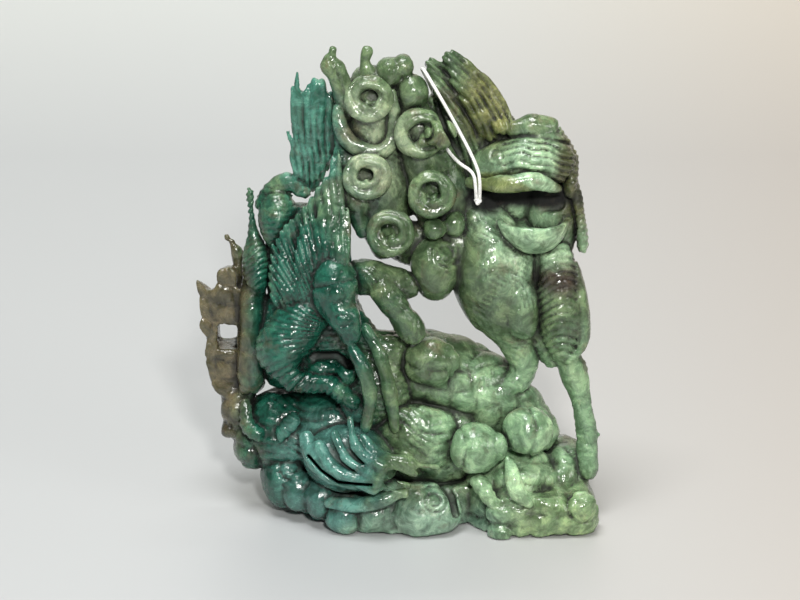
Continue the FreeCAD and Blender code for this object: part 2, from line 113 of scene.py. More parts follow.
class Field:
    """A grid of distances over the whole carving, negative inside the stone."""

    def __init__(self):
        low, high = (np.array(corner) / MM for corner in CAD_BOX)
        self.low = low - 3 * VOXEL
        self.shape = tuple(int(n) for n in np.ceil((high - low) / VOXEL) + 7)
        self.nearest = np.full(self.shape, BAND * VOXEL, np.float32)
        self.second = self.nearest.copy()
        self.stone = self.nearest.copy()
        self.owner = np.full(self.shape, -1, np.int16)
        self.runner = self.owner.copy()
        self.cut = np.zeros(self.shape, np.float32)

    def axes(self, block):
        """X, rise and face of a block's cells, as arrays that broadcast."""
        x, y, z = [self.low[i] + VOXEL * np.arange(block[i].start, block[i].stop) for i in range(3)]
        across = x[:, None, None].astype(np.float32)
        rise = (z[None, None, :] * COS + y[None, :, None] * SIN).astype(np.float32)
        face = (y[None, :, None] * COS - z[None, None, :] * SIN).astype(np.float32)
        return across, rise, face

    def block(self, low, high, margin=0.0):
        """The slices that hold a box given in millimetres."""
        first = np.floor((np.array(low) - margin - self.low) / VOXEL).astype(int)
        last = np.ceil((np.array(high) + margin - self.low) / VOXEL).astype(int) + 1
        return tuple(
            slice(max(0, int(a)), min(n, int(b))) for a, b, n in zip(first, last, self.shape)
        )


def node_distance(field, node):
    """A node's block of the field, and the distance to its surface there."""
    mesh = bpy.data.objects[node].data
    mesh.calc_loop_triangles()
    points = np.empty(len(mesh.vertices) * 3, np.float32)
    mesh.vertices.foreach_get("co", points)
    points = ((points.reshape(-1, 3) / MM - field.low) / VOXEL).astype(np.float32)
    corners = np.empty(len(mesh.loop_triangles) * 3, np.int32)
    mesh.loop_triangles.foreach_get("vertices", corners)
    grid = openvdb.FloatGrid.createLevelSetFromPolygons(
        points, triangles=corners.reshape(-1, 3).astype(np.uint32), halfWidth=BAND
    )
    low, high = (np.array(corner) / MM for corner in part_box(node))
    block = field.block(low, high, margin=(BAND + 1) * VOXEL)
    cells = np.empty([s.stop - s.start for s in block], np.float32)
    grid.copyToArray(cells, ijk=tuple(s.start for s in block))
    return block, cells * VOXEL + INSET


def smooth_min(a, b, radius):
    """The smaller of two distances, with a fillet where they meet."""
    h = np.clip(0.5 + 0.5 * (b - a) / radius, 0.0, 1.0)
    return b * (1 - h) + a * h - radius * h * (1 - h)


def melt_nodes(field):
    """Melts every stone node into the field, and notes which is nearest to each cell."""
    parts = {}
    for number, node in enumerate(STONE_NODES):
        block, distance = node_distance(field, node)
        nearest = field.nearest[block]
        closer = distance < nearest
        behind = distance < field.second[block]
        runner = np.where(behind, number, field.runner[block])
        field.runner[block] = np.where(closer, field.owner[block], runner)
        field.second[block] = np.where(closer, nearest, np.minimum(field.second[block], distance))
        field.nearest[block] = np.where(closer, distance, nearest)
        field.owner[block] = np.where(closer, number, field.owner[block])
        field.stone[block] = smooth_min(field.stone[block], distance, MELT)
        parts[node] = (block, distance)
    return parts


def beyond(field, node, parts):
    """How far each cell of a node's block lies past the border with the node's neighbours."""
    block, distance = parts[node]
    mine = field.owner[block] == STONE_NODES.index(node)
    other = np.where(mine, field.second[block], field.nearest[block])
    return (distance - other) / 2


# ---------------------------------------------------------------- carving patterns
# A cut takes x across, r up the front view and f towards the back, and gives the depth it takes off.


def ribs(u, pitch, depth):
    """Rounded ribs with sharp grooves between them, one for each pitch of u."""
    return depth * (1 - np.abs(np.sin(np.pi * u / pitch)))


def groove(distance, width, depth):
    """A round-bottomed groove along the places where distance is zero."""
    return depth * np.exp(-((distance / width) ** 2))


def fan(x, rise, root, spread, depth):
    """Ribs that run out from a root, one for each spread radians."""
    angle = np.arctan2(x - root[0], rise - root[1])
    return ribs(angle, spread, depth)


def volute(x, rise, middle, outer, hand, turns=1.35, width=0.55, depth=1.1):
    """A spiral groove that winds in from outer towards the eye."""
    dx, dr = (x - middle[0]) * hand, rise - middle[1]
    radius = np.hypot(dx, dr)
    angle = np.arctan2(dr, dx) / (2 * np.pi)
    pitch = 0.62 * outer / turns
    wound = (radius - 0.3 * outer) / pitch - angle
    off = (wound - np.round(wound)) * pitch
    inside = np.clip((outer - radius) / 1.0, 0, 1) * np.clip((radius - 0.2 * outer) / 0.6, 0, 1)
    deeper = np.clip(1.6 - radius / outer, 0.6, 1.6)
    return groove(off, width * deeper, depth * deeper) * inside


def scales(u, v, size, depth):
    """Overlapping rounded scales, size by size, that point along v."""
    row = np.floor(v / (0.7 * size))
    across = u / size + 0.5 * (row % 2)
    across = across - np.round(across)
    along = v / (0.7 * size) - row
    edge = along - 0.45 * (1 - (2 * across) ** 2)
    return depth * np.exp(-((edge / 0.22) ** 2))


def value_noise(field, cell, seed):
    """Smooth noise from -1 to 1 over the whole grid, with one random value for each cell millimetres."""
    counts = [int(n * VOXEL / cell) + 3 for n in field.shape]
    cells = np.random.default_rng(seed).uniform(-1, 1, counts).astype(np.float32)
    for axis, n in enumerate(field.shape):
        place = np.arange(n) * VOXEL / cell
        index = place.astype(int)
        t = (place - index).astype(np.float32)
        t = t * t * (3 - 2 * t)
        t = t.reshape([-1 if i == axis else 1 for i in range(3)])
        cells = np.take(cells, index, axis) * (1 - t) + np.take(cells, index + 1, axis) * t
    return cells


def scroll_cut(node, hand):
    """The cut on one cloud scroll."""
    return lambda x, r, f: volute(x, r, centre(node), 6.8, hand, width=0.75, depth=1.3)


def mane_cut(x, r, f):
    """Strands of the mane, fanned out from under the dragon's head."""
    head = centre("dragon_head")
    return fan(x, r, (head[0] + 3.0, head[1] - 26.0), 0.042, 0.95)


def fin_cut(x, r, f):
    """Fine rays of the tail fin, fanned up from the shoulder."""
    low = centre("dragon_shoulder")
    return fan(x, r, (low[0] + 11.0, low[1] - 42.0), 0.031, 0.9)


def crest_cut(x, r, f):
    """Ribs along the beast's crest, with a slight bend."""
    middle = centre("beast_crest")
    along = (x - middle[0]) * 0.86 + (r - middle[1]) * 0.5
    bend = 0.012 * ((x - middle[0]) * 0.5 - (r - middle[1]) * 0.86) ** 2
    return ribs(along + bend, 2.0, 1.0)


def skull_cut(x, r, f):
    """Folds over the beast's cheek, a groove under its brow and a whorl at its nostril."""
    middle = centre("beast_skull")
    dx, dr = x - middle[0], r - middle[1]
    folds = ribs(dr + 0.015 * dx**2 + 0.35 * np.sin(0.7 * dx), 2.0, 1.25)
    cheek = np.clip((dx + 7.5) / 1.5, 0, 1) * np.clip((3.2 - dr) / 1.2, 0, 1)
    brow = groove(dr - 3.9 + 0.02 * dx**2, 0.7, 1.1)
    whorl = volute(x, r, (middle[0] - 8.6, middle[1] - 2.4), 3.6, -1, turns=1.1, width=0.45, depth=0.8)
    return folds * cheek + brow + whorl


def chest_scutes(x, r, f):
    """Curved scutes down the beast's chest."""
    middle = centre("beast_chest")
    return ribs(r + 0.22 * (x - middle[0]) ** 2 / 3, 2.4, 0.8) * (x < middle[0] + 4.2)


def belly_scutes(x, r, f):
    """Scutes that radiate across the dragon's belly."""
    middle = centre("dragon_chest")
    angle = np.arctan2(r - middle[1], x - middle[0] - 14.0)
    return ribs(angle, 0.105, 0.9)


def body_scales(x, r, f):
    """Scales on the dragon's body."""
    return scales(x, r, 2.6, 0.5)


def coil_cut(x, r, f):
    """Slanted bands across the dragon's coil."""
    middle = centre("dragon_coil")
    return ribs(x - 0.5 * (r - middle[1]), 2.2, 0.7)


def claw_cut(x, r, f):
    """Joints of the dragon's claw."""
    return ribs(r + 0.5 * x, 2.6, 0.6)


def coat_cut(x, r, f):
    """Short curved strokes of the carver's tool, as an animal's coat."""
    flow = 0.8 * x + 0.6 * r + 1.6 * np.sin(0.3 * r - 0.25 * x)
    patches = 0.6 + 0.4 * np.sin(0.55 * x - 0.3 * r) * np.sin(0.4 * r + 0.3 * f)
    return ribs(flow, 1.7, 0.6) * patches


def haunch_cut(x, r, f):
    """A whorl of coat on the haunch."""
    whorl = volute(x, r, centre("beast_haunch"), 6.0, 1, turns=1.8, width=0.6, depth=0.6)
    return whorl + 0.7 * coat_cut(x, r, f)


def rock_cut(x, r, f):
    """Lumps of rock with sharp creases between them."""
    u = 0.43 * x + 0.9 * np.sin(0.2 * r + 0.3 * f)
    v = 0.5 * r + 0.9 * np.sin(0.19 * x - 0.2 * f)
    return 1.25 * (1 - np.sqrt(np.abs(np.sin(u) * np.sin(v))))


def fringe_cut(x, r, f):
    """Slanted locks of a fringe."""
    return ribs(r - 0.6 * x, 1.9, 0.7)


def nape_cut(x, r, f):
    """The fringe on the throat, only behind the open jaw."""
    low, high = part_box("beast_jaw")
    return fringe_cut(x, r, f) * np.clip((x - high[0] / MM) / 1.5, 0, 1)


def boss(x, rise, middle, radius, height):
    """A low rounded boss, as the negative of a cut."""
    away = np.hypot(x - middle[0], rise - middle[1]) / radius
    return -height * np.exp(-(away**4))


def head_cut(x, r, f):
    """The dragon's eye in its socket, the brow over it, its cheek and its open lips."""
    middle = centre("dragon_head")
    eye = (middle[0] + 0.6, middle[1] + 1.5)
    away = np.hypot(x - eye[0], r - eye[1])
    socket = groove(away - 2.3, 0.55, 0.8) + boss(x, r, eye, 1.4, 0.5)
    brow = groove(r - eye[1] - 3.4 - 0.25 * (x - eye[0]), 0.5, 0.8)
    mouth = (middle[0] + 1.8, middle[1] - 6.4)
    lips = groove(np.hypot(x - mouth[0], 1.4 * (r - mouth[1])) - 2.4, 0.5, 0.9)
    whiskers = fan(x, r, (mouth[0] - 1.0, mouth[1] + 2.0), 0.2, 0.5) * (r < mouth[1] - 2.5)
    return socket + brow + lips + whiskers + 0.7 * coat_cut(x, r, f) * (away > 2.6)


def mound_waves(x, r, f):
    """Low curling ridges of rock, like breaking waves."""
    middle = centre("mound_face")
    dx, dr = x - middle[0], r - middle[1]
    waves = ribs(dr + 1.8 * np.sin(0.33 * dx) + 0.3 * dx, 2.7, 0.9)
    return 0.7 * waves + 0.5 * rock_cut(x, r, f)


def stone_swirl(node, shift, outer):
    """A curl cut into one boulder."""

    def cut(x, r, f):
        middle = centre(node)
        at = (middle[0] + shift[0], middle[1] + shift[1])
        return volute(x, r, at, outer, 1, turns=1.6, width=0.6, depth=0.9) + 0.6 * rock_cut(x, r, f)

    return cut


def peach_cut(node, shift):
    """The cleft of a peach, bent round its side."""

    def cut(x, r, f):
        middle = centre(node)
        bend = x - middle[0] - shift + 0.04 * (r - middle[1]) ** 2
        return groove(bend, 0.6, 0.9)

    return cut


def curl_cut(x, r, f):
    """Rays of the small curl at the left."""
    middle = centre("left_curl")
    angle = np.arctan2(r - middle[1] - 6.0, x - middle[0])
    return ribs(angle, 0.22, 0.6)


def leaf_cut(x, r, f):
    """The vein of the cloud's leaf."""
    middle = centre("cloud_leaf")
    return groove(x - middle[0] + 0.35 * (r - middle[1]), 0.6, 0.8)


def fungus_cut(x, r, f):
    """Growth rings of the fungus."""
    middle = centre("fungus_left")
    radius = np.hypot(x - middle[0] - 1.0, r - middle[1] - 3.0)
    return ribs(radius, 2.1, 0.6)


def boulder_rings(x, r, f):
    """A ringed knot at the right end of the rock, on lumpy stone."""
    low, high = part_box("right_boulders")
    radius = np.hypot(x - high[0] / MM + 6.0, r - 1.0)
    return ribs(radius, 2.2, 0.8) * np.clip((7.0 - radius) / 1.5, 0, 1) + 0.6 * rock_cut(x, r, f)


def cuts():
    """The pattern that is cut into each node."""
    made = {}
    for number, hand in enumerate((-1, -1, 1, 1, 1), start=1):
        node = f"cloud_scroll_{number}"
        made[node] = scroll_cut(node, hand)
    for node in ("mane_bed", "mane_front", "mane_middle", "mane_rear"):
        made[node] = mane_cut
    for node in ("dragon_back", "dragon_shoulder", "dragon_trunk"):
        made[node] = body_scales
    for node in ("beast_trunk", "beast_hock", "cloud_bank", "dragon_foreleg", "beast_foreleg"):
        made[node] = coat_cut
    for node in ("base_rock", "back_boulders", "right_bank", "mound_ridge", "cloud_edge"):
        made[node] = rock_cut
    made.update(
        tail_fin=fin_cut,
        beast_crest=crest_cut,
        beast_haunch=haunch_cut,
        beast_skull=skull_cut,
        dragon_head=head_cut,
        mound_face=mound_waves,
        mound_left=mound_waves,
        left_boulders=stone_swirl("left_boulders", (-3.0, 4.0), 7.0),
        front_boulders=stone_swirl("front_boulders", (12.0, 1.0), 5.5),
        beast_chest=chest_scutes,
        dragon_chest=belly_scutes,
        dragon_coil=coil_cut,
        dragon_claw=claw_cut,
        tail_bulb=fringe_cut,
        nape_fringe=fringe_cut,
        beast_throat=nape_cut,
        peach_left=peach_cut("peach_left", -4.0),
        peach_right=peach_cut("peach_right", 2.0),
        crag_wall=rock_cut,
        crag_foot=rock_cut,
        left_curl=curl_cut,
        cloud_leaf=leaf_cut,
        fungus_left=fungus_cut,
        right_boulders=boulder_rings,
    )
    return made


DRILLED = (
    # node, (x, rise) points from its middle, radius, depth past its middle
    ("cloud_scroll_1", ((-4.4, -7.6), (0.5, -8.6), (5.0, -7.2)), 1.1, 4.0),
    ("cloud_scroll_1", ((0.5, 1.2), (1.8, 0.6)), 1.0, 3.0),
    ("cloud_scroll_2", ((-0.9, 0.4), (0.6, 0.8)), 1.3, 4.0),
    ("cloud_scroll_3", ((-1.6, 2.0), (0.6, 2.4)), 1.4, 4.0),
    ("cloud_scroll_4", ((-1.4, 1.4), (1.0, 1.6)), 1.2, 4.0),
    ("cloud_scroll_4", ((-6.4, -6.6), (-1.0, -8.8), (5.8, -6.8)), 1.2, 4.0),
    ("cloud_scroll_5", ((-4.0, 0.4), (-2.8, -0.6)), 1.2, 3.0),
    ("dragon_coil", ((-19.0, 1.5), (-15.0, -3.0), (-6.0, -4.6), (3.0, -5.6)), 1.2, 3.0),
    ("dragon_coil", ((-5.0, 6.0), (-1.0, 9.4), (5.0, 9.6), (9.0, 6.4)), 1.3, 3.0),
    ("beast_lip", ((-12.0, -5.2), (-6.0, -5.6), (4.0, -5.4), (12.0, -5.0)), 1.9, 9.0),
    ("beast_lip", ((-6.0, -5.6), (4.0, -6.0), (13.0, -5.4)), 2.5, 11.0),
    ("beast_lip", ((10.0, -5.2), (16.0, -3.6)), 1.2, 7.0),
    ("feather_bed", ((-13.0, 1.0), (-9.0, -3.5), (-4.0, -7.0), (6.0, -7.6)), 0.4, 0.5),
    ("beast_jaw", ((-1.4, -5.2), (-0.6, -5.2)), 0.45, -8.0),
    ("beast_jaw", ((6.8, -5.0), (7.4, -5.0)), 0.45, -8.0),
    ("front_boulders", ((15.0, 6.0), (17.5, 2.0), (18.6, -3.0)), 1.1, 3.0),
    ("peach_right", ((-5.0, -7.0), (1.5, -8.4), (5.5, -6.4)), 0.8, 3.0),
    ("beast_crest", ((-10.0, 6.0), (-7.0, -3.0), (-3.0, -9.5)), 0.8, 3.0),
)
BODIES = {
    node: body
    for body, nodes in {
        "mane": ("mane_bed", "mane_front", "mane_middle", "mane_rear"),
        "dragon": ("dragon_back", "dragon_shoulder", "dragon_trunk", "dragon_chest", "dragon_coil"),
        "beast": ("beast_haunch", "beast_hock", "beast_hoof", "beast_trunk", "beast_foreleg", "beast_chest"),
        "head": ("beast_skull", "beast_crest"),
        "feathers": ("feather_bed", "feathers_lower", "feathers_upper"),
        "mound": ("mound_face", "mound_left", "mound_ridge"),
        "clouds": ("cloud_bank", "cloud_crest", "cloud_edge"),
        "crag": ("crag_wall", "crag_foot"),
        "foot": ("base_rock", "back_boulders", "left_boulders", "right_bank"),
    }.items()
    for node in nodes
}


def drill(field, node, path, radius, depth):
    """Sinks a channel along a path, from the front to a depth past a node's middle."""
    low, high = (np.array(corner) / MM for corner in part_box(node))
    middle, y, z = centre(node), (low[1] + high[1]) / 2, (low[2] + high[2]) / 2
    path = [(middle[0] + x, middle[1] + rise) for x, rise in path]
    left, right = (end(x for x, _ in path) for end in (min, max))
    front, back, top = CAD_BOX[0][1] / MM, CAD_BOX[1][1] / MM, CAD_BOX[1][2] / MM
    block = field.block((left, front, 0), (right, back, top), margin=4.0)
    across, rise, face = field.axes(block)
    away = np.full(np.broadcast_shapes(across.shape, rise.shape), FAR, np.float32)
    for (ax, ar), (bx, br) in zip(path, path[1:]):
        run = (bx - ax) ** 2 + (br - ar) ** 2
        t = np.clip(((across - ax) * (bx - ax) + (rise - ar) * (br - ar)) / run, 0, 1)
        away = np.minimum(away, np.hypot(across - ax - t * (bx - ax), rise - ar - t * (br - ar)))
    tool = np.maximum(away - radius, face - (y * COS - z * SIN) - depth)
    field.stone[block] = -smooth_min(-field.stone[block], tool, 1.0)


def blurred(cells, reach):
    """Cells averaged over a box that reaches this many cells each way."""
    for axis in range(3):
        edge = [(reach + 1, reach) if i == axis else (0, 0) for i in range(3)]
        sums = np.cumsum(np.pad(cells, edge, mode="edge"), axis=axis, dtype=np.float32)
        width = 2 * reach + 1
        n = cells.shape[axis]
        ahead = np.take(sums, range(width, width + n), axis)
        cells = (ahead - np.take(sums, range(n), axis)) / width
    return cells


def undercut(field):
    """A groove along the border between two carved elements, where the nodes belong to different bodies."""
    bodies = sorted({BODIES.get(node, node) for node in STONE_NODES})
    body = np.array([bodies.index(BODIES.get(node, node)) for node in STONE_NODES] + [-1])
    apart = (body[field.owner] != body[field.runner]) & (field.runner >= 0)
    border = field.second - field.nearest
    return np.where(apart, groove(border, width=0.8, depth=0.7), 0).astype(np.float32)


def carve(field, parts):
    """Makes every node's cut, faded out at its borders, the marks of handwork, the grooves between
    bodies, the drilled channels and the flat underside, and notes how hollow each cell lies."""
    sway = [value_noise(field, 7.0, seed) for seed in (5, 6)]
    worn = 0.8 + 0.4 * value_noise(field, 4.0, 7)
    for node, pattern in cuts().items():
        block, _ = parts[node]
        share = np.clip(0.5 - beyond(field, node, parts) / FADE, 0, 1) * worn[block]
        x, rise, face = field.axes(block)
        depth = pattern(x + SWAY * sway[0][block], rise + SWAY * sway[1][block], face)
        field.cut[block] += share * depth
    field.cut += 0.3 * value_noise(field, 5.0, 3) + 0.16 * value_noise(field, 2.2, 4)
    field.stone += field.cut + undercut(field)
    for node, path, radius, depth in DRILLED:
        drill(field, node, path, radius, depth)
    floor = field.low[2] + VOXEL * np.arange(field.shape[2], dtype=np.float32)
    field.stone = np.maximum(field.stone, UNDERSIDE - floor[None, None, :])
    near = np.clip(field.stone, -3.0, 3.0)
    fine, broad = (blurred(near, max(1, round(reach / VOXEL))) for reach in (0.9, 2.8))
    field.hollow = 2 * near - fine - broad


def piece_mesh(field, node, parts):
    """The mesh of a node's share of the carving, with its hidden part under the neighbours."""
    block, _ = parts[node]
    past = beyond(field, node, parts)
    cells = np.maximum(field.stone[block] + SINK * np.maximum(past, 0), past - LAP)
    low = np.array([s.start for s in block])
    cells = np.pad(cells, 1, constant_values=VOXEL)
    grid = openvdb.FloatGrid(VOXEL * 2)
    grid.copyFromArray(cells.astype(np.float32))
    points, triangles, quads = grid.convertToPolygons(isovalue=0.0, adaptivity=ADAPT)
    points = points + (low - 1)
    index = [np.clip(np.rint(points[:, i]).astype(int), 0, field.shape[i] - 1) for i in range(3)]
    hollow = field.hollow[tuple(index)]
    return (points * VOXEL + field.low) * MM, triangles[:, ::-1], quads[:, ::-1], hollow


def add_piece(node, points, triangles, quads, hollow):
    """A smooth Blender piece in a CAD node's place."""
    mesh = bpy.data.meshes.new(node + "_carved")
    mesh.from_pydata(points.tolist(), [], quads.tolist() + triangles.tolist())
    mesh.shade_smooth()
    mesh.attributes.new("hollow", "FLOAT", "POINT").data.foreach_set("value", hollow.astype(np.float32))
    piece = bpy.data.objects.new(node + "_carved", mesh)
    bpy.context.collection.objects.link(piece)
    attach(piece, "root")
    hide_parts(node)
    return piece


# ---------------------------------------------------------------- materials


def node_of(tree, kind, **values):
    """A shader node with some of its inputs or settings filled in."""
    made = tree.nodes.new(kind)
    for name, value in values.items():
        if hasattr(made, name):
            setattr(made, name, value)
        else:
            made.inputs[name.replace("_", " ")].default_value = value
    return made


def ramp(tree, source, stops):
    """A colour ramp over a value, from (place, colour) stops."""
    made = tree.nodes.new("ShaderNodeValToRGB")
    points = made.color_ramp.elements
    while len(points) < len(stops):
        points.new(0.5)
    for point, (place, colour) in zip(points, stops):
        point.position = place
        point.color = (*colour, 1.0) if len(colour) == 3 else colour
    tree.links.new(source, made.inputs["Fac"])
    return made.outputs["Color"]


def mixed(tree, fac, first, second, blend="MIX"):
    """One colour over another, by a factor."""
    made = tree.nodes.new("ShaderNodeMix")
    made.data_type = "RGBA"
    made.blend_type = blend
    for socket, value in ((made.inputs[0], fac), (made.inputs[6], first), (made.inputs[7], second)):
        if isinstance(value, bpy.types.NodeSocket):
            tree.links.new(value, socket)
        elif isinstance(value, tuple):
            socket.default_value = (*value, 1.0)
        else:
            socket.default_value = value
    return made.outputs[2]


def spot(tree, place, at, size, wobble):
    """A soft mask round a point, in metres, with a wandering edge."""
    move = node_of(tree, "ShaderNodeVectorMath", operation="SUBTRACT")
    tree.links.new(place, move.inputs[0])
    move.inputs[1].default_value = at
    scale = node_of(tree, "ShaderNodeVectorMath", operation="DIVIDE")
    tree.links.new(move.outputs[0], scale.inputs[0])
    scale.inputs[1].default_value = size
    length = node_of(tree, "ShaderNodeVectorMath", operation="LENGTH")
    tree.links.new(scale.outputs[0], length.inputs[0])
    added = node_of(tree, "ShaderNodeMath", operation="ADD")
    tree.links.new(length.outputs["Value"], added.inputs[0])
    tree.links.new(wobble, added.inputs[1])
    edge = node_of(tree, "ShaderNodeMapRange", interpolation_type="SMOOTHSTEP")
    tree.links.new(added.outputs[0], edge.inputs["Value"])
    edge.inputs["From Min"].default_value = 0.7
    edge.inputs["From Max"].default_value = 1.5
    edge.inputs["To Min"].default_value = 1.0
    edge.inputs["To Max"].default_value = 0.0
    return edge.outputs["Result"]


def portion(tree, value, low, high):
    """Where a value lies from low to high, as 0 to 1."""
    made = node_of(tree, "ShaderNodeMapRange")
    tree.links.new(value, made.inputs["Value"])
    made.inputs["From Min"].default_value = low
    made.inputs["From Max"].default_value = high
    return made.outputs["Result"]


def noise(tree, place, scale, detail=4.0, rough=0.55, warp=0.0):
    """A noise value at a scale per metre."""
    made = node_of(tree, "ShaderNodeTexNoise", Scale=scale, Detail=detail, Roughness=rough, Distortion=warp)
    tree.links.new(place, made.inputs["Vector"])
    return made.outputs["Fac"]


RUST = (0.085, 0.06, 0.038)
STONE = (0.07, 0.112, 0.056)  # the colour of most of the jade
ZONES = (
    # colour, middle and size of its zone, in metres
    ((0.25, 0.365, 0.24), (0.04, -0.01, 0.098), (0.0165, 0.05, 0.021)),
    ((0.19, 0.3, 0.18), (0.036, -0.02, 0.03), (0.027, 0.03, 0.026)),
    ((0.13, 0.21, 0.155), (0.0, -0.02, 0.002), (0.028, 0.03, 0.012)),
    ((0.165, 0.215, 0.14), (-0.012, -0.01, 0.118), (0.016, 0.04, 0.018)),
    ((0.006, 0.056, 0.038), (-0.031, 0.0, 0.052), (0.021, 0.08, 0.068)),
    ((0.05, 0.16, 0.125), (-0.0295, 0.0, 0.121), (0.0095, 0.03, 0.021)),
    ((0.065, 0.17, 0.15), (-0.024, -0.02, 0.018), (0.014, 0.02, 0.018)),
    ((0.135, 0.205, 0.1), (0.047, -0.02, 0.004), (0.014, 0.02, 0.01)),
    ((0.09, 0.075, 0.042), (-0.0565, 0.01, 0.055), (0.0115, 0.03, 0.034)),
    ((0.075, 0.08, 0.038), (0.051, 0.0, 0.108), (0.006, 0.03, 0.016)),
    ((0.11, 0.12, 0.045), (0.026, 0.0, 0.131), (0.0075, 0.03, 0.012)),
    ((0.05, 0.035, 0.025), (0.047, 0.0, 0.076), (0.0065, 0.012, 0.007)),
    ((0.17, 0.2, 0.08), (0.029, -0.011, 0.1075), (0.008, 0.008, 0.0026)),
)
MOUTH_SHADOW = ((0.034, -0.001, 0.1005), (0.0165, 0.014, 0.0034))  # painted shadow: the inside of the mouth is coloured near black, and it is left unpolished


def jade(name):
    """Polished jade, teal at the left, sage at the right, with russet skin, paler clouds, grime and painted
    shade in its hollows, wear and painted highlight on its ridges, and a painted shadow inside the mouth.
    """
    material = bpy.data.materials.new(name)
    material.use_nodes = True
    tree = material.node_tree
    shader = tree.nodes["Principled BSDF"]
    place = tree.nodes.new("ShaderNodeTexCoord").outputs["Object"]
    clouds = noise(tree, place, 42.0, detail=6.0, rough=0.62, warp=0.8)
    flecks = noise(tree, place, 210.0, detail=5.0, rough=0.7, warp=0.6)
    wobble = node_of(tree, "ShaderNodeMath", operation="MULTIPLY_ADD")
    tree.links.new(clouds, wobble.inputs[0])
    wobble.inputs[1].default_value = 2.2
    wobble.inputs[2].default_value = -1.1
    colour = STONE
    for tint, at, size in ZONES:
        colour = mixed(tree, spot(tree, place, at, size, wobble.outputs[0]), colour, tint)
    # Painted shadow: a near-black patch over the inside of the mouth. The same mask also makes it rough
    # below.
    unlit = spot(tree, place, *MOUTH_SHADOW, wobble.outputs[0])
    colour = mixed(tree, unlit, colour, (0.002, 0.003, 0.002))
    pale, dark = (1.75, 1.6, 1.6), (0.5, 0.56, 0.55)
    cloudy = ramp(tree, clouds, ((0.3, dark), (0.48, (0.95, 1.0, 0.95)), (0.7, pale)))
    colour = mixed(tree, 1.0, colour, cloudy, "MULTIPLY")
    skin = noise(tree, place, 95.0, detail=5.0, rough=0.65, warp=0.4)
    rusty = ramp(tree, skin, ((0.56, (0, 0, 0)), (0.68, (0.55, 0.55, 0.55))))
    colour = mixed(tree, rusty, colour, RUST)
    pale, dark = (1.7, 1.6, 1.55), (0.5, 0.53, 0.48)
    mottle = ramp(tree, flecks, ((0.4, dark), (0.5, (1.0, 1.0, 1.0)), (0.61, pale)))
    colour = mixed(tree, 0.8, colour, mottle, "MULTIPLY")
    # Colour from how hollow the surface lies: grime and painted shade darken the crevices, and wear and a
    # painted highlight brighten the ridges.
    hollow = node_of(tree, "ShaderNodeAttribute", attribute_name="hollow")
    deep = portion(tree, hollow.outputs["Fac"], -1.2, 1.2)
    worn_and_lit, grimy_and_shaded, packed_and_shaded = (1.3, 1.3, 1.28), (0.45, 0.46, 0.42), (0.1, 0.1, 0.09)
    grime_and_shade = ramp(tree, deep, ((0.2, worn_and_lit), (0.5, (1.0, 1.0, 1.0)), (0.72, grimy_and_shaded), (0.95, packed_and_shaded)))
    colour = mixed(tree, 1.0, colour, grime_and_shade, "MULTIPLY")
    tree.links.new(colour, shader.inputs["Base Color"])
    polish = ramp(tree, flecks, ((0.35, (0.12, 0.12, 0.12)), (0.65, (0.32, 0.32, 0.32))))
    dull = ramp(tree, deep, ((0.6, (0, 0, 0)), (0.85, (1, 1, 1))))
    polish = mixed(tree, unlit, mixed(tree, dull, polish, (0.7, 0.7, 0.7)), (0.9, 0.9, 0.9))
    tree.links.new(polish, shader.inputs["Roughness"])
    shader.inputs["IOR"].default_value = 1.6
    shader.inputs["Subsurface Weight"].default_value = 0.2
    shader.inputs["Subsurface Radius"].default_value = (0.5, 1.0, 0.7)
    shader.inputs["Subsurface Scale"].default_value = 0.0018
    stretch = node_of(tree, "ShaderNodeMapping")
    tree.links.new(place, stretch.inputs["Vector"])
    stretch.inputs["Rotation"].default_value = (0.0, 0.5, 0.0)
    stretch.inputs["Scale"].default_value = (1.0, 1.0, 0.3)
    strokes = noise(tree, stretch.outputs["Vector"], 620.0, detail=3.0, rough=0.5, warp=0.3)
    bump = node_of(tree, "ShaderNodeBump", Strength=0.55, Distance=0.0003)
    tree.links.new(strokes, bump.inputs["Height"])
    chips = node_of(tree, "ShaderNodeBump", Strength=0.55, Distance=0.0009)
    tree.links.new(noise(tree, place, 260.0, detail=3.0, rough=0.5), chips.inputs["Height"])
    tree.links.new(bump.outputs["Normal"], chips.inputs["Normal"])
    tree.links.new(chips.outputs["Normal"], shader.inputs["Normal"])
    return material


def cotton():
    """White cotton thread."""
    material = bpy.data.materials.new("white_cotton")
    material.use_nodes = True
    tree = material.node_tree
    shader = tree.nodes["Principled BSDF"]
    place = tree.nodes.new("ShaderNodeTexCoord").outputs["Object"]
    fibres = noise(tree, place, 2600.0, detail=3.0)
    colour = ramp(tree, fibres, ((0.3, (0.62, 0.62, 0.58)), (0.6, (0.93, 0.93, 0.9))))
    tree.links.new(colour, shader.inputs["Base Color"])
    shader.inputs["Roughness"].default_value = 0.8
    shader.inputs["Sheen Weight"].default_value = 0.3
    bump = node_of(tree, "ShaderNodeBump", Strength=0.5, Distance=0.0002)
    tree.links.new(fibres, bump.inputs["Height"])
    tree.links.new(bump.outputs["Normal"], shader.inputs["Normal"])
    return material


# ---------------------------------------------------------------- string


def seen(x, rise, y):
    """The point at depth y that the front view shows x across and rise up, from millimetres to metres."""
    return Vector((x, y, (rise - y * SIN) / COS)) * MM


def string_route():
    """The points that the string turns at, as in the CAD part."""
    return [
        seen(22.8, 93.2, -12.4), seen(23.0, 97.4, -13.6), seen(22.1, 102.8, -12), seen(14.6, 117.0, -8.6),
        seen(6.6, 130.6, -5.4), seen(5.6, 131.8, 1.5), seen(7.0, 129.6, 8.0), seen(9.6, 124.6, 11.4),
        seen(11.5, 118.0, 10.6), seen(12.3, 111.0, 4.5), seen(12.9, 108.2, -4.5), seen(16.6, 103.6, -10.0),
        seen(20.9, 101.0, -12.4), seen(21.6, 97.2, -13.6), seen(21.8, 93.2, -12.4),
    ]  # fmt: skip


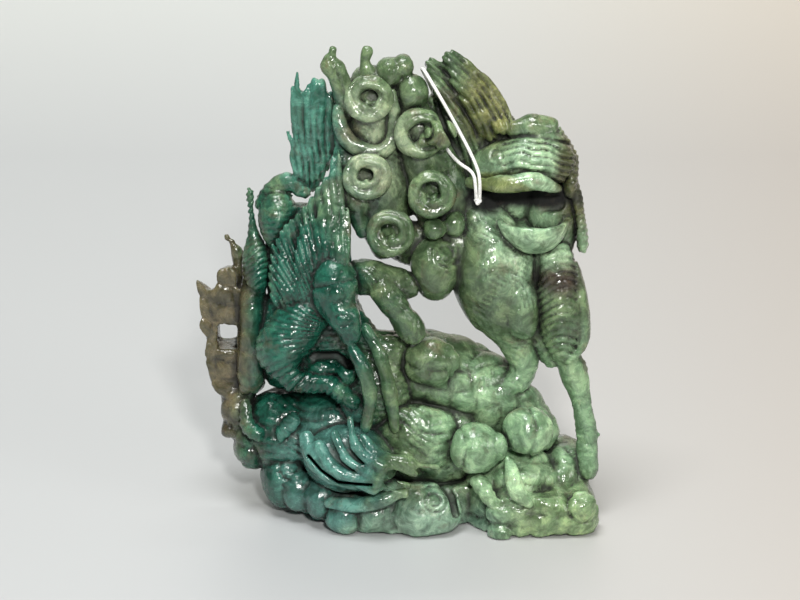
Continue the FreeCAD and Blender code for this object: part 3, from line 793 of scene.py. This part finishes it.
def knot_piece(material):
    """The overhand knot that ties the two ends of the string."""
    low, high = (Vector(corner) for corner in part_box("string_knot"))
    middle, size = (low + high) / 2, 0.27 * MM
    curve = bpy.data.curves.new("string_knot_tied", "CURVE")
    curve.dimensions = "3D"
    line = curve.splines.new("NURBS")
    steps = 36
    line.points.add(steps - 1)
    for step, point in enumerate(line.points):
        t = 2 * math.pi * step / steps
        x, z = math.sin(t) + 2 * math.sin(2 * t), math.cos(t) - 2 * math.cos(2 * t)
        point.co = (*(middle + Vector((x, -1.3 * math.sin(3 * t), z)) * size), 1.0)
    line.order_u = 3
    line.use_cyclic_u = True
    curve.bevel_depth = 0.42 * STRING_DIAMETER
    curve.bevel_resolution = 3
    piece = bpy.data.objects.new("string_knot_tied", curve)
    bpy.context.collection.objects.link(piece)
    curve.materials.append(material)
    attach(piece, "root")
    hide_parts("string_knot")
    return piece


def tag_string(material, knot):
    """The tag's string, looped over the carving."""
    points = string_route()
    curve = bpy.data.curves.new("tag_string_line", "CURVE")
    curve.dimensions = "3D"
    line = curve.splines.new("NURBS")
    line.points.add(len(points) - 1)
    for point, at in zip(line.points, points):
        point.co = (*at, 1.0)
    line.order_u = 3
    line.use_endpoint_u = True
    curve.resolution_u = 12
    curve.bevel_depth = STRING_DIAMETER / 2
    curve.bevel_resolution = 3
    curve.use_fill_caps = True
    piece = bpy.data.objects.new("tag_string_line", curve)
    bpy.context.collection.objects.link(piece)
    curve.materials.append(material)
    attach(piece, "root")
    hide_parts("tag_string")
    return piece


# ---------------------------------------------------------------- stage


def stage():
    """A pale floor that curves up behind."""
    floor = bpy.data.materials.new("pale_floor")
    floor.use_nodes = True
    tree = floor.node_tree
    shader = tree.nodes["Principled BSDF"]
    place = tree.nodes.new("ShaderNodeTexCoord").outputs["Object"]
    split = node_of(tree, "ShaderNodeSeparateXYZ")
    tree.links.new(place, split.inputs[0])
    across = portion(tree, split.outputs["X"], 0.0, 0.17)
    tone = ramp(tree, across, ((0.0, (0.55, 0.565, 0.57)), (1.0, (0.53, 0.49, 0.45))))
    # Painted light: the floor's colour grows brighter towards the back and up the backdrop.
    away = portion(tree, split.outputs["Y"], 0.1, 0.6)
    painted_glow = ramp(tree, away, ((0.5, (0.92, 0.92, 0.92)), (1.0, (1.22, 1.22, 1.18))))
    tree.links.new(mixed(tree, 1.0, tone, painted_glow, "MULTIPLY"), shader.inputs["Base Color"])
    shader.inputs["Roughness"].default_value = 0.45
    half, back, rise, steps = 3.0, 1.2, 1.6, 16
    profile = [(-3.0, 0.0), (back, 0.0)]
    for step in range(1, steps + 1):
        angle = math.pi / 2 * step / steps
        profile.append((back + rise * math.sin(angle), rise * (1 - math.cos(angle))))
    profile.append((back + rise, 4.0))
    points = [(x, y, z) for y, z in profile for x in (-half, half)]
    faces = [(2 * i, 2 * i + 1, 2 * i + 3, 2 * i + 2) for i in range(len(profile) - 1)]
    mesh = bpy.data.meshes.new("backdrop")
    mesh.from_pydata(points, [], faces)
    mesh.shade_smooth()
    mesh.materials.append(floor)
    sheet = bpy.data.objects.new("backdrop", mesh)
    bpy.context.collection.objects.link(sheet)


def area_light(name, at, aim, size, power, colour=(1, 1, 1)):
    """A square soft light at a point, turned to another."""
    light = bpy.data.lights.new(name, "AREA")
    light.shape = "SQUARE"
    light.size = size
    light.energy = power
    light.color = colour
    made = bpy.data.objects.new(name, light)
    made.location = at
    made.rotation_euler = (Vector(aim) - Vector(at)).to_track_quat("-Z", "Y").to_euler()
    bpy.context.collection.objects.link(made)


def lights_and_camera():
    """Four soft lights, a dim pale room, and a long lens that looks down at the front."""
    low, high = (Vector(corner) for corner in CAD_BOX)
    middle = (low + high) / 2
    area_light("overhead", (-0.15, -0.3, 1.3), middle, 0.5, 13.0)
    area_light("camera_side", (0.1, -1.1, 0.7), middle, 0.1, 11.0, (1.0, 0.98, 0.95))
    area_light("right_fill", (0.8, -0.5, 0.4), middle, 0.3, 1.5, (1.0, 0.98, 0.95))
    area_light("backdrop_light", (0.2, 1.0, 2.4), (0.1, 2.7, 1.5), 1.0, 64.0, (1.0, 1.0, 0.96))
    world = bpy.data.worlds.new("studio")
    world.use_nodes = True
    room = world.node_tree.nodes["Background"]
    room.inputs["Color"].default_value = (0.8, 0.82, 0.82, 1.0)
    room.inputs["Strength"].default_value = 0.2
    bpy.context.scene.world = world
    bpy.context.scene.view_settings.view_transform = "Standard"
    camera = bpy.data.objects.new("camera", bpy.data.cameras.new("camera"))
    camera.data.lens = 180.0
    aim = Vector((-0.0006, 0.0, 0.0675))
    distance = VIEW_WIDTH * camera.data.lens / camera.data.sensor_width
    camera.location = aim + Vector((0, -COS, SIN)) * distance
    camera.rotation_euler = (math.pi / 2 - LEAN, 0, 0)
    bpy.context.collection.objects.link(camera)
    bpy.context.scene.camera = camera


# ---------------------------------------------------------------- assembly


def main():
    """Sets the stage, hangs the string, carves the stone and puts a piece in each node's place."""
    lights_and_camera()
    stage()
    thread = cotton()
    tag_string(thread, knot_piece(thread))
    field = Field()
    parts = melt_nodes(field)
    carve(field, parts)
    stones = {slot: jade(slot) for slot in sorted(set(SLOTS.values()) - {"white_cotton"})}
    faces = 0
    for node in STONE_NODES:
        points, triangles, quads, hollow = piece_mesh(field, node, parts)
        piece = add_piece(node, points, triangles, quads, hollow)
        piece.data.materials.append(stones[SLOTS[node]])
        faces += 2 * len(quads) + len(triangles)
    print("carving:", len(STONE_NODES), "pieces,", faces, "triangles")


main()
